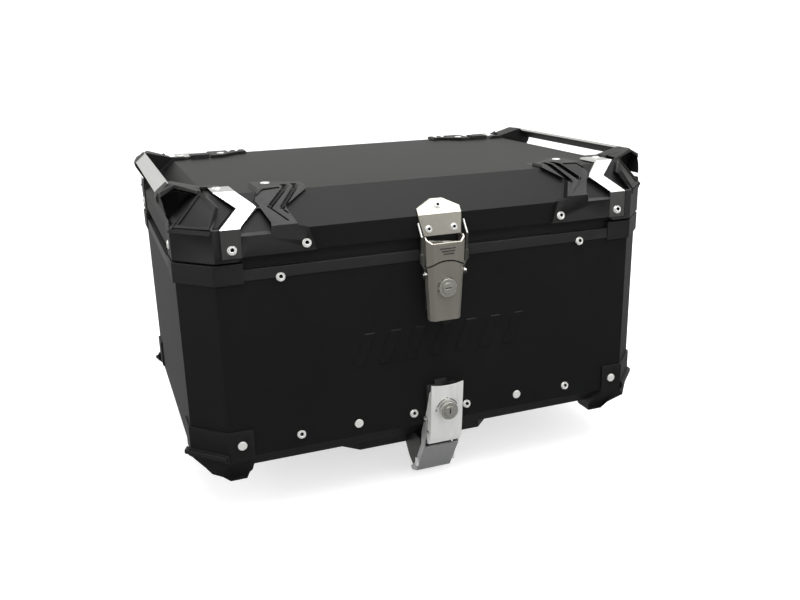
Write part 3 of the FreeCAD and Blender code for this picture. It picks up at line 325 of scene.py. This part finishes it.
def islands(node):
    """Vertex positions of each separate solid of a CAD node."""
    work = bmesh.new()
    work.from_mesh(node.data)
    bmesh.ops.remove_doubles(work, verts=work.verts, dist=WELD_GAP)
    seen = set()
    groups = []
    for start in work.verts:
        if start in seen:
            continue
        stack, members = [start], []
        seen.add(start)
        while stack:
            vert = stack.pop()
            members.append(vert.co.copy())
            for edge in vert.link_edges:
                other = edge.other_vert(vert)
                if other not in seen:
                    seen.add(other)
                    stack.append(other)
        groups.append(members)
    work.free()
    return groups


# ---------------------------------------------------------------- lid corner covers
# Places are in millimetres on the front right corner; the other three are its mirror images.
CREASE = 301
LID_TOP = 329.5
PANEL_TOP = (225, -147, 332.8)
PANEL_RIGHT = (215, -169.1, 321)
PANEL_LOW_IN = (224, -178.5, 302.5)
PANEL_LOW_OUT = (252, -150.5, 302)
PANEL_BORDER = 2.8
PANEL_FLOOR = 1.7
PANEL = [PANEL_TOP, PANEL_RIGHT, PANEL_LOW_IN, PANEL_LOW_OUT]


def lid_block(grow):
    """Convex outer form of the lid, moved outwards by about grow millimetres."""
    points = [tuple(v.co / MM) for v in nodes["lid_shell"].data.vertices]
    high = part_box("lid_shell")[1] / MM
    block = hull([
        (x * (1 + grow / high.x), y * (1 + grow / high.y), z + (grow if z > CREASE - 1 else -5))
        for x, y, z in points
    ])
    return boolean(block, [corner_slab(0.6)], "DIFFERENCE")


def corner_slab(depth):
    """Everything outside the corner panel's plane, from that depth below it."""
    return panel_block(-6, 16, depth)


def lid_sheet():
    """The lid's sheet with its four corners cut off flat behind the corner panels."""
    flips = [(flip_x, flip_y) for flip_x in (False, True) for flip_y in (False, True)]
    slabs = [mirrored(corner_slab(0.5), flip_x, flip_y) for flip_x, flip_y in flips]
    shape = boolean(welded_copy(nodes["lid_shell"]), slabs, "DIFFERENCE")
    piece = piece_of("lid_sheet", shape, "powder_coat", "lid", 1.2 * MM)
    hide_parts("lid_shell")


def panel_normal():
    """Upward unit normal of the corner panel's plane."""
    first = Vector(PANEL_LOW_OUT) - Vector(PANEL_LOW_IN)
    second = Vector(PANEL_RIGHT) - Vector(PANEL_LOW_IN)
    normal = first.cross(second).normalized()
    return normal if normal.z > 0 else -normal


def panel_block(inset, above, below):
    """Slab on the corner panel's plane, its outline drawn in by inset."""
    normal = panel_normal()
    middle = sum((Vector(p) for p in PANEL), Vector()) / 4
    outline = []
    for index, point in enumerate(PANEL):
        before = (Vector(PANEL[index - 1]) - Vector(point)).normalized()
        after = (Vector(PANEL[(index + 1) % 4]) - Vector(point)).normalized()
        half_turn = before.angle(after) / 2
        outline.append(Vector(point) + (before + after).normalized() * inset / math.sin(half_turn))
    return hull([p + normal * height for p in outline for height in (above, -below)])


def bar_between(start, end, width, above, below, normal):
    """Square-ended bar from start to end, lying on a surface with that normal."""
    start, end, normal = Vector(start), Vector(end), Vector(normal).normalized()
    side = (end - start).cross(normal).normalized() * width / 2
    return hull([
        p + s * side + normal * height
        for p in (start, end) for s in (-1, 1) for height in (above, -below)
    ])


BEVEL_NORMAL = (0, -0.7518, 0.6594)


def on_cover(x, z):
    """Point of the cover's front bevel, in millimetres, at that x and height."""
    proud = 3.5
    run = 25 / (LID_TOP - CREASE)
    y = -177 + (z - CREASE) * run - proud * math.hypot(1, run)
    return (x, y, z)


def cover_additions():
    """Solids joined to the CAD cover: panel border, bar ear, ledge and the ridge beside the panel."""
    ear_back = [(224, 334), (248, 340.3), (253, 340), (262.8, 332), (264.3, 328.2), (257.2, 298.5)]
    cup = [PANEL_TOP, (257.2, -147.6, 298.6), PANEL_LOW_OUT, (247, -141, 340.4), (260.5, -138, 334)]
    ledge = [
        (257.4, -142), (258.6, -146.6), (225.8, -180.4), (221, -180.4), (221, -172), (250, -142),
    ]
    return [
        panel_block(0, PANEL_BORDER, 9),
        hull(cup + [(x, -125, z) for x, z in ear_back]),
        hull([(x, y, z) for x, y in ledge for z in (298.2, 302.6)]),
        bar_between(PANEL_TOP, (254.5, -149, 300.5), 3.0, 3.4, 4, panel_normal()),
    ]


def cover_cuts():
    """Solids cut from the cover: pockets, the chevron's recesses, slots and grooves."""
    pocket = [(228.2, 331.6), (248.2, 337.6), (260.8, 329.8), (255.4, 304.4)]
    recess = [
        [(219.9, 336), (198.2, 318.6), (213.4, 320.6), (224.5, 336)],
        [(198.2, 318.6), (216.4, 303.4), (222.6, 303.4), (213.4, 320.6)],
    ]
    triangle = [
        (178.2, 317.4), (197.5, 303.4), (197.5, 297.6), (169.6, 297.6), (168.4, 304.9), (175.2, 317),
    ]
    slots = [((144.9, 334.5), (165.8, 317.7)), ((133.2, 336.5), (155.5, 315.5))]
    slot_half_width = 2.1
    chamfer = [(-183, 293), (-176.9, 298), (-183, 299)]
    top_step = [(164, -112), (124, -112), (124, -135), (139, -131)]
    notch = [(265.5, 328), (256.3, 311.5), (257.4, 299.5), (268, 299.5), (270, 328)]
    cuts = [
        prism_y(notch, -170, -112),
        panel_block(0, 14, -PANEL_BORDER),
        prism_y(pocket, -170, -121),
        panel_block(3.0, 6, -PANEL_FLOOR),
        hull([(x, y, z) for x in (169.6, 197.2) for y, z in chamfer]),
        hull([(x, y, z) for x, y in top_step for z in (329.6, 340)]),
        prism_y(triangle, -190, -150),
    ]
    cuts += [prism_y(part, -190, -120) for part in recess]
    for (x0, z0), (x1, z1) in slots:
        along = Vector((x1 - x0, z1 - z0)).normalized()
        across = Vector((-along.y, along.x)) * slot_half_width
        outline = [
            (x0 + across.x, z0 + across.y), (x0 - across.x, z0 - across.y),
            (x1 - across.x, z1 - across.y), (x1 + across.x, z1 + across.y),
        ]
        cuts.append(prism_y(outline, -190, -140))
    grooves = [
        ((181, 323.8), (169.8, 331.6)), ((169.8, 331.6), (153.5, 332.4)), ((181, 323.8), (176.4, 318)),
        ((168.4, 318.2), (152, 305.2)), ((156.5, 315.9), (150.4, 311)),
    ]
    for first, second in grooves:
        cuts.append(bar_between(on_cover(*first), on_cover(*second), 1.9, 2, 1.5, BEVEL_NORMAL))
    return cuts


def cover_clips():
    """Two short ledges inside the ear's pocket, under its rim."""
    ends = [((247.6, 333.4), (241.2, 331.4)), ((239.6, 330.9), (231, 328.2))]
    return [
        hull([(x, y, z + thick) for x, z in pair for y in (-131, -120.5) for thick in (0, 1)])
        for pair in ends
    ]


def lid_corners():
    """Moulded corner covers, made once and mirrored; the rear two have a small web on top."""
    mesh = welded_copy(nodes["lid_corner_front_right"])
    mesh = boolean(mesh, cover_additions(), "UNION")
    mesh = boolean(mesh, [lid_block(0.02)] + cover_cuts(), "DIFFERENCE")
    mesh = boolean(mesh, cover_clips(), "UNION")
    web = hull([(x, y, z) for x in (177, 198.6) for y in (-115, -134) for z in (329.6, 334.2)])
    rear_mesh = boolean(mesh.copy(), [web], "UNION")
    for name, flip_x, flip_y in corners():
        shape = mirrored(rear_mesh if flip_y else mesh, flip_x, flip_y)
        piece = piece_of("corner_cover_" + name, shape, "black_plastic", "lid", 0.5 * MM, True)
        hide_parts("lid_corner_" + name)


# ---------------------------------------------------------------- screws and rivets
def turned(profile, steps=32):
    """Solid of revolution about Z from (radius, height) points in millimetres."""
    work = bmesh.new()
    verts = [work.verts.new((r * MM, 0, z * MM)) for r, z in profile]
    edges = [work.edges.new(pair) for pair in zip(verts, verts[1:])]
    bmesh.ops.spin(
        work, geom=verts + edges, cent=(0, 0, 0), axis=(0, 0, 1), angle=math.tau, steps=steps, use_merge=True
    )
    bmesh.ops.remove_doubles(work, verts=work.verts, dist=0.000001)
    bmesh.ops.recalc_face_normals(work, faces=work.faces)
    mesh = bpy.data.meshes.new("turned")
    work.to_mesh(mesh)
    work.free()
    return mesh


def paint_socket_shade(mesh, radius, low, high):
    """Second, dark material on the faces inside a socket: painted shade in the socket's hollow."""
    for polygon in mesh.polygons:
        middle = polygon.center / MM
        if math.hypot(middle.x, middle.y) < radius and low < middle.z < high:
            polygon.material_index = 1
    return mesh


# Head profiles are drawn for this radius and scaled to the one asked for.
PROFILE_RADIUS = 5.25


def scaled_profile(radius, shape):
    """Profile from (share of the radius, height at PROFILE_RADIUS) points."""
    return [(radius * share, height * radius / PROFILE_RADIUS) for share, height in shape]


def screw_mesh(radius):
    """Button head with a turned ring and a hexagon socket."""
    k = radius / PROFILE_RADIUS
    profile = scaled_profile(radius, [
        (0, -1.0), (1, -1.0), (1, 0.5), (0.96, 0.9), (0.84, 1.5), (0.80, 1.5), (0.78, 1.0),
        (0.68, 1.0), (0.66, 1.9), (0.60, 2.2), (0, 2.2),
    ])
    socket_radius = 2.3 * k
    turns = [math.radians(60 * step) for step in range(6)]
    socket = hull([
        (socket_radius * math.cos(turn), socket_radius * math.sin(turn), height * k)
        for turn in turns for height in (-0.6, 4)
    ])
    mesh = boolean(turned(profile), [socket], "DIFFERENCE")
    return paint_socket_shade(mesh, 2.2 * k, -0.9 * k, 1.9 * k)


def rivet_mesh(radius):
    """Nearly flat rivet head."""
    shape = [(0, -1), (1, -1), (1, 0.5), (0.95, 1.0), (0.8, 1.3), (0, 1.4)]
    return turned(scaled_profile(radius, shape))


def fasteners(node_name, piece_name, body, master, head_height):
    """Every fastener of a CAD node, redrawn as the master with its head's details."""
    meshes = []
    for points in islands(nodes[node_name]):
        axis = long_axis(points)
        heights = [p.dot(axis) for p in points]
        middle = sum(points, Vector()) / len(points)
        span = max(heights) - min(heights)
        top = [p for p in points if p.dot(axis) > max(heights) - 0.45 * span]
        low = [p for p in points if p.dot(axis) < min(heights) + 0.2 * span]
        if reach(low, middle, axis) > reach(top, middle, axis):
            axis = -axis
            heights = [-h for h in heights]
        centre = middle + axis * (max(heights) - head_height * MM - middle.dot(axis))
        copy = master.copy()
        turn = Vector((0, 0, 1)).rotation_difference(axis).to_matrix().to_4x4()
        copy.transform(Matrix.Translation(centre) @ turn)
        meshes.append(copy)
    piece = piece_of(piece_name, joined(meshes), "fastener_steel", body)
    # second slot: black plastic in the socket hollows, painted shade
    piece.data.materials.append(MATERIALS["frame_plastic"])
    for polygon in piece.data.polygons:
        polygon.use_smooth = True
    normals = piece.modifiers.new("normals", "WEIGHTED_NORMAL")
    normals.keep_sharp = True
    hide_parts(node_name)


STRIKE_NORMAL = (0, -0.945, 0.327)
DRIVE_DIRECTIONS = [(1, 0, 0), (0, 1, 0), (0, 0, 1), BEVEL_NORMAL, STRIKE_NORMAL]


def reach(points, middle, axis):
    """Largest distance of the points from the line through middle along axis."""
    return max((p - middle - axis * (p - middle).dot(axis)).length for p in points)


def long_axis(points):
    """Axis of a fastener: the drive direction that its points lie closest to."""
    middle = sum(points, Vector()) / len(points)
    axes = [Vector(direction).normalized() for direction in DRIVE_DIRECTIONS]
    return min(axes, key=lambda axis: reach(points, middle, axis))


# ---------------------------------------------------------------- all the pieces
BEVEL_WIDTH = {
    "powder_coat": 1.2 * MM, "black_plastic": 0.7 * MM, "black_metal": 0.4 * MM, "frame_plastic": 0.5 * MM,
    "seal_rubber": 0.3 * MM, "mat_rubber": 0.4 * MM, "strap_aluminium": 0.3 * MM, "bar_aluminium": 0.6 * MM,
    "fastener_steel": 0.25 * MM, "pin_steel": 0.25 * MM, "latch_steel": 0.3 * MM, "claw_steel": 0.3 * MM,
    "lock_chrome": 0.35 * MM,
}


def dress_cad_nodes():
    """Materials and rounded edges on the CAD meshes; the claw gets a darker copy of its slot's steel as
    painted shade.
    """
    slots = {part["node"]: part["material_slot"] for part in frame["record"]["subparts"]}
    for name, node in nodes.items():
        slot = slots[name]
        node.data.materials.clear()
        node.data.materials.append(MATERIALS["claw_steel_painted_shade" if name == "claw" else slot])
        soften(node, BEVEL_WIDTH[slot])


def emboss():
    """Raised slanted bars on the front wall; a plain ornament."""
    first, pitch, count = -96, 28, 7
    width, lean, low, high = 12, 14, 148, 183
    inwards = [(0.7, 0.9), (-0.7, 0.9), (-0.7, -0.9), (0.7, -0.9)]
    meshes = []
    for index in range(count):
        left = first + pitch * index
        outline = [(left, low), (left + width, low), (left + width + lean, high), (left + lean, high)]
        foot = [(x, -175.6, z) for x, z in outline]
        face = [(x + dx, -176.9, z + dz) for (x, z), (dx, dz) in zip(outline, inwards)]
        meshes.append(hull(foot + face))
    piece_of("front_emboss", joined(meshes), "powder_coat", "case", 0.5 * MM)


BAR_TILT = math.radians(50)


def paint_bar_shadows():
    """Black strip along the inner face of each grab bar: painted shade where that face lies in shadow."""
    for side in (-1, 1):
        name = "grab_bar_" + ("right" if side > 0 else "left")
        points = [v.co / MM for v in nodes[name].data.vertices]
        tilt = BAR_TILT
        width = Vector((side * math.sin(tilt), 0, -math.cos(tilt)))
        outwards = Vector((side * math.cos(tilt), 0, math.sin(tilt)))
        middle = sum((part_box(name)[k] for k in (0, 1)), Vector()) / 2 / MM
        half_w = max((p - middle).dot(width) for p in points) - 1
        half_t = max((p - middle).dot(outwards) for p in points)
        half_y = 121
        # a thin black sheet just inside the bar's inner face, painted shade
        strip = hull([
            middle + s * half_w * width - t * outwards + Vector((0, y, 0))
            for s in (-1, 1) for t in (half_t - 0.5, half_t + 0.7) for y in (-half_y, half_y)
        ])
        piece_of(name + "_shade_strip", strip, "black_plastic", "lid", 0.3 * MM)


def feet():
    """Corner feet with one straight sloping facet and a ridge strip above it."""
    base = welded_copy(nodes["foot_front_right"])
    facet = hull([
        (262.5, -141, 71.5), (227, -176.5, 71.5), (227, -142, 36.5), (221, -148, 35.5), (226, -140, 60),
        (250, -141, 72), (226, -165, 72),
    ])
    ridge_ends = [(264.2, -143), (228.5, -178.7)]
    ridge_section = [(-3, 72), (0, 72.6), (0, 76.5), (-3, 79)]
    strip = hull([(x + d, y - d, z) for x, y in ridge_ends for d, z in ridge_section])
    shape = boolean(base, [facet, strip], "UNION")
    for name, flip_x, flip_y in corners():
        foot = mirrored(shape, flip_x, flip_y)
        piece = piece_of("foot_cover_" + name, foot, "black_plastic", "case", 0.5 * MM, True)
        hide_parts("foot_" + name)


def arc_marks(centre, radius, angles, y, length):
    """Short raised dashes round a lock, in the plane of the handle's face."""
    meshes = []
    for angle in angles:
        turn = math.radians(angle)
        outward = Vector((math.cos(turn), 0, math.sin(turn)))
        along = Vector((-math.sin(turn), 0, math.cos(turn)))
        middle = Vector((0, y, centre)) + radius * outward
        meshes.append(hull([
            middle + s * length / 2 * along + t * 0.35 * outward + Vector((0, d, 0))
            for s in (-1, 1) for t in (-1, 1) for d in (-0.1, 0.5)
        ]))
    return meshes


def middle_height(name):
    """Height of a node's middle, in millimetres."""
    return sum(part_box(name)[k].z for k in (0, 1)) / 2 / MM


def latch_markings(upper_z, lower_z):
    """Dashes round both locks and three lines on the latch cover."""
    marks = arc_marks(upper_z, 10.2, (60, 75, 105, 120, 150, 165, 195), -195.9, 1.9)
    marks += arc_marks(upper_z, 11.4, (90,), -195.9, 1.2)
    piece_of("upper_lock_marks", joined(marks), "black_metal", "handle")
    dashes = arc_marks(lower_z, 11.4, (25, 40, 55, 70, 110, 125, 140, 155), -193.9, 2.6)
    dashes += arc_marks(lower_z, 12.6, (90, 180), -193.9, 2.2)
    piece_of("lower_lock_marks", joined(dashes), "black_metal", "lever")
    lines = []
    for index, z in enumerate((266, 263.2, 260.4)):
        ends = (-8 + 2 * index, 9 - index)
        lines.append(hull([
            (x, -196.75 + d, z + t) for x in ends for d in (-0.12, 0.5) for t in (-0.45, 0.45)
        ]))
    piece_of("latch_cover_lines", joined(lines), "black_metal", "case")


def key_slot_shade_box(plug, z, half_x, half_z):
    """Dark box standing just inside a plug's face: painted shade for the hollow of the key slot."""
    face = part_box(plug)[0].y / MM
    return hull([
        (x, face + d, z + t) for x in (-half_x, half_x) for d in (0.2, 2) for t in (-half_z, half_z)
    ])


def locks(upper_z, lower_z):
    """Key slots; the lower plug is turned a quarter so that its slot stands upright."""
    # the black boxes are painted shade standing for the key slots' hollows
    piece_of("upper_keyway_shade", key_slot_shade_box("upper_lock_plug", upper_z, 3.2, 0.6), "frame_plastic", "upper_plug")
    plug = nodes["lower_lock_plug"].data.copy()
    centre = Matrix.Translation(Vector((0, 0, lower_z * MM)))
    plug.transform(centre @ Matrix.Rotation(math.radians(90), 4, "Y") @ centre.inverted())
    upright_plug = piece_of("lower_plug_upright", plug, "lock_chrome", "lower_plug", 0.35 * MM)
    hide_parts("lower_lock_plug")
    piece_of("lower_keyway_shade", key_slot_shade_box("lower_lock_plug", lower_z, 0.6, 3.2), "frame_plastic", "lower_plug")


def claw_buttons():
    """An oblong button on each side of the claw, both in one piece."""
    radius = 2.3
    turns = [math.radians(45 * step) for step in range(8)]
    buttons = [
        hull([
            (side * (21.4 + d), -159 + radius * math.cos(turn), z + radius * math.sin(turn))
            for turn in turns for z in (17, 23) for d in (-1.4, 1.2)
        ])
        for side in (-1, 1)
    ]
    piece_of("claw_buttons", joined(buttons), "claw_steel", "claw", 0.3 * MM)


def latch_details():
    """Everything drawn on the latches that the CAD leaves plain."""
    upper_z = middle_height("upper_lock_plug")
    lower_z = middle_height("lower_lock_plug")
    latch_markings(upper_z, lower_z)
    locks(upper_z, lower_z)
    claw_buttons()


dress_cad_nodes()
lid_sheet()
lid_corners()
HEAD_HEIGHT = 3
screw = screw_mesh(4.5)
fasteners("case_screws", "case_socket_screws", "case", screw, HEAD_HEIGHT)
fasteners("lid_screws", "lid_socket_screws", "lid", screw, HEAD_HEIGHT)
fasteners("strike_screws", "strike_socket_screws", "lid", screw_mesh(3.8), 2.4)
rivet = rivet_mesh(4.6)
fasteners("case_rivets", "case_flat_rivets", "case", rivet, HEAD_HEIGHT)
fasteners("lid_rivets", "lid_flat_rivets", "lid", rivet, HEAD_HEIGHT)
emboss()
paint_bar_shadows()
feet()
latch_details()


# ---------------------------------------------------------------- camera
CAMERA_TARGET = Vector((0.02309, 0, 0.15448))
CAMERA_DISTANCE = 1.04018
CAMERA_AZIMUTH = math.radians(-20.63)
CAMERA_ELEVATION = math.radians(17.32)
CAMERA_ROLL = math.radians(-1.37)


def add_camera():
    """Camera on a ball round its target, given by azimuth, elevation and roll."""
    back = Vector((
        math.sin(CAMERA_AZIMUTH) * math.cos(CAMERA_ELEVATION),
        -math.cos(CAMERA_AZIMUTH) * math.cos(CAMERA_ELEVATION),
        math.sin(CAMERA_ELEVATION),
    ))
    level = Vector((math.cos(CAMERA_AZIMUTH), math.sin(CAMERA_AZIMUTH), 0))
    upward = back.cross(level)
    right = math.cos(CAMERA_ROLL) * level + math.sin(CAMERA_ROLL) * upward
    up = -math.sin(CAMERA_ROLL) * level + math.cos(CAMERA_ROLL) * upward
    data = bpy.data.cameras.new("camera")
    data.lens = 37.86
    data.sensor_width = 36
    camera = bpy.data.objects.new("camera", data)
    place = CAMERA_TARGET + CAMERA_DISTANCE * back
    axes = Matrix((right, up, back)).transposed().to_4x4()
    camera.matrix_world = Matrix.Translation(place) @ axes
    scene.collection.objects.link(camera)
    scene.camera = camera


# ---------------------------------------------------------------- studio
def add_floor():
    """Pale round floor that sweeps up into a wall all round the object."""
    sweep, flat_radius, wall_top, level = 1200, 3400, 4500, -0.2
    steps = 12
    profile = [(0, level), (flat_radius, level)]
    for step in range(1, steps + 1):
        turn = math.radians(90 / steps * step)
        profile.append((flat_radius + sweep * math.sin(turn), sweep * (1 - math.cos(turn)) + level))
    profile.append((flat_radius + sweep, wall_top))
    mesh = turned(profile, 64)
    for polygon in mesh.polygons:
        polygon.use_smooth = True
    floor = bpy.data.objects.new("floor", mesh)
    material, _, shader = blank_material("floor", (0.6, 0.6, 0.6), 0.9, specular=0.0)
    shader.inputs["Emission Color"].default_value = (1, 1, 1, 1)
    shader.inputs["Emission Strength"].default_value = 0.62
    mesh.materials.append(material)
    scene.collection.objects.link(floor)
    floor.visible_glossy = False
    add_reflector()


def add_reflector():
    """Pale floor behind and beside the object that shows only in reflections."""
    mesh = bpy.data.meshes.new("reflector")
    drop, reach_out = -0.6 * MM, 3.5
    outline = [(-reach_out, 0.0), (reach_out, 0.0), (reach_out, reach_out), (-reach_out, reach_out)]
    mesh.from_pydata([(x, y, drop) for x, y in outline], [], [(0, 1, 2, 3)])
    reflector = bpy.data.objects.new("reflector", mesh)
    material, _, shader = blank_material("reflector", (0.5, 0.5, 0.5), 0.9, specular=0.0)
    shader.inputs["Emission Color"].default_value = (1, 1, 1, 1)
    shader.inputs["Emission Strength"].default_value = 0.12
    mesh.materials.append(material)
    scene.collection.objects.link(reflector)
    reflector.visible_camera = False
    reflector.visible_diffuse = False
    reflector.visible_shadow = False


def add_light(name, place, target, size, power):
    """Rectangular area light at place, aimed at target."""
    data = bpy.data.lights.new(name, "AREA")
    data.shape = "RECTANGLE"
    data.size, data.size_y = size
    data.energy = power
    light = bpy.data.objects.new(name, data)
    light.location = place
    light.rotation_euler = (Vector(target) - Vector(place)).to_track_quat("-Z", "Y").to_euler()
    scene.collection.objects.link(light)


def add_world():
    """Soft grey surroundings, brighter above and behind than below and in front."""
    world = bpy.data.worlds.new("studio")
    scene.world = world
    world.use_nodes = True
    tree = world.node_tree
    background = tree.nodes["Background"]
    place = tree.nodes.new("ShaderNodeTexCoord")
    tilt = tree.nodes.new("ShaderNodeVectorMath")
    tilt.operation = "DOT_PRODUCT"
    tilt.inputs[1].default_value = (0.0, 0.65, 0.75)
    ramp = tree.nodes.new("ShaderNodeValToRGB")
    ramp.color_ramp.elements[0].position = 0.34
    ramp.color_ramp.elements[0].color = (0.05, 0.05, 0.05, 1)
    ramp.color_ramp.elements[1].position = 0.80
    ramp.color_ramp.elements[1].color = (0.85, 0.85, 0.83, 1)
    tree.links.new(place.outputs["Generated"], tilt.inputs[0])
    height = remap(tree, tilt.outputs["Value"], 0, 1, -1, 1)
    tree.links.new(height, ramp.inputs["Fac"])
    tree.links.new(ramp.outputs["Color"], background.inputs["Color"])
    background.inputs["Strength"].default_value = 1.0


add_camera()
add_floor()
add_world()
add_light("overhead", (0.3, -0.45, 1.9), (0, 0, 0.2), (2.2, 1.5), 40)
add_light("left_side", (-2.0, 0.6, 0.9), (0, 0, 0.15), (1.6, 1.4), 8)
add_light("right_front", (1.6, -1.6, 1.0), (0, 0, 0.15), (1.0, 1.0), 4)
scene.view_settings.view_transform = "Standard"
